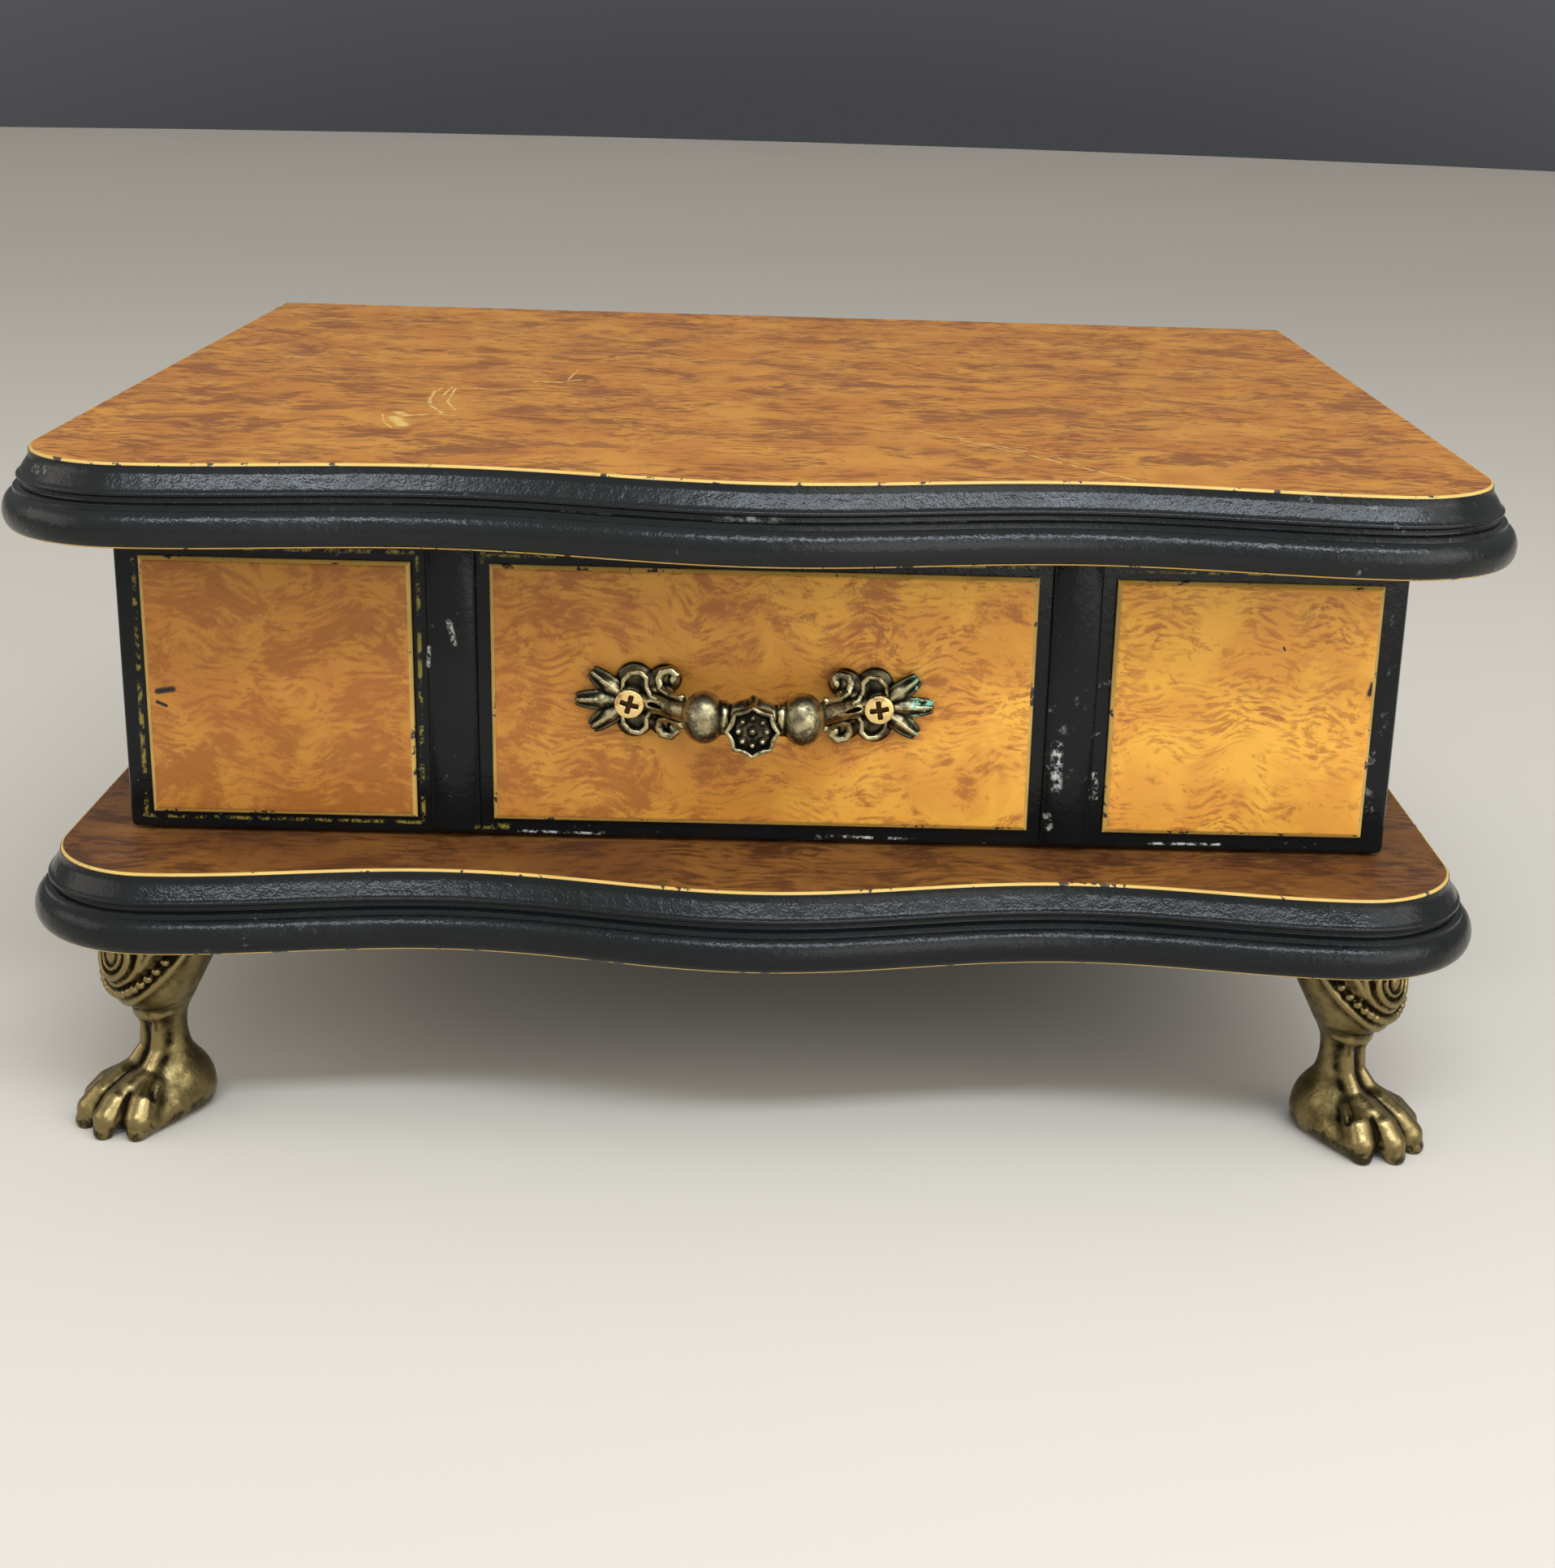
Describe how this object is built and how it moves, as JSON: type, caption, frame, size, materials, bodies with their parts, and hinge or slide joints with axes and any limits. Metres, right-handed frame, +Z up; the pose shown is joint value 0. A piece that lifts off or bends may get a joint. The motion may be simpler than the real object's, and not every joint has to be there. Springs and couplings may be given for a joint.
{
  "type": "jewelry box",
  "caption": "Burl-faced jewelry box with black moulded edges, wavy front, paw feet, hinged lid over a lined tray, and a drawer with an antique brass pull.",
  "frame": {"origin": "under the middle of the box, on the surface that the feet stand on", "axes": "+X across the front to the viewer's right, +Y towards the hinged back, +Z up"},
  "size_m": [0.236, 0.2042, 0.1124],
  "materials": {
    "black_paint": "satin black paint over fibreboard, slightly pebbled",
    "burl_top": "satin printed burl veneer, orange-brown",
    "burl_field": "satin printed burl, yellow-orange with brown patches",
    "plain_wood": "plain sawn wood, lightly sealed",
    "velvet": "dark red flocked velvet",
    "brass": "bright brass plate",
    "old_brass": "antique brass with black patina in the recesses",
    "cast_gold": "antique gold on cast metal, dark in the recesses",
    "mirror": "silvered glass"
  },
  "bodies": {
    "case": {"base_slab": "black_paint", "base_veneer": "burl_top", "case_back": "black_paint", "case_side_left": "black_paint", "case_side_right": "black_paint", "drawer_runner_left": "plain_wood", "drawer_runner_right": "plain_wood", "drawer_stop": "plain_wood", "foot_front_left": "cast_gold", "foot_front_right": "cast_gold", "foot_rear_left": "cast_gold", "foot_rear_right": "cast_gold", "foot_screw_front_left": "brass", "foot_screw_front_right": "brass", "foot_screw_rear_left": "brass", "foot_screw_rear_right": "brass", "hinge_leaf_case_left": "brass", "hinge_leaf_case_right": "brass", "hinge_pin_left": "brass", "hinge_pin_right": "brass", "hinge_screw_case_left_1": "brass", "hinge_screw_case_left_2": "brass", "hinge_screw_case_right_1": "brass", "hinge_screw_case_right_2": "brass", "ring_roll_1": "velvet", "ring_roll_2": "velvet", "ring_roll_3": "velvet", "tray_divider_left": "velvet", "tray_divider_right": "velvet", "tray_floor": "plain_wood", "tray_pad_centre": "velvet", "tray_pad_left": "velvet", "tray_pad_right": "velvet", "tray_rail": "plain_wood"},
    "lid": {"hinge_leaf_lid_left": "brass", "hinge_leaf_lid_right": "brass", "hinge_screw_lid_left_1": "brass", "hinge_screw_lid_left_2": "brass", "hinge_screw_lid_right_1": "brass", "hinge_screw_lid_right_2": "brass", "lid_lining": "velvet", "lid_slab": "black_paint", "lid_veneer": "burl_top", "mirror": "mirror"},
    "drawer": {"drawer_back": "plain_wood", "drawer_bottom": "plain_wood", "drawer_divider": "velvet", "drawer_front": "black_paint", "drawer_pad": "velvet", "drawer_side_left": "plain_wood", "drawer_side_right": "plain_wood", "front_bar_left": "black_paint", "front_bar_right": "black_paint", "front_field_centre": "burl_field", "front_field_left": "burl_field", "front_field_right": "burl_field", "handle": "old_brass", "handle_screw_left": "brass", "handle_screw_right": "brass"}
  },
  "joints": [
    {"name": "lid_hinge", "type": "hinge", "parent": "case", "child": "lid", "pos_m": [0, 0.1003, 0.10005], "axis": [-1, 0, 0], "range_deg": [0, 95]},
    {"name": "drawer_slide", "type": "slide", "parent": "case", "child": "drawer", "axis": [0, -1, 0], "range_m": [0, 0.1]}
  ]
}
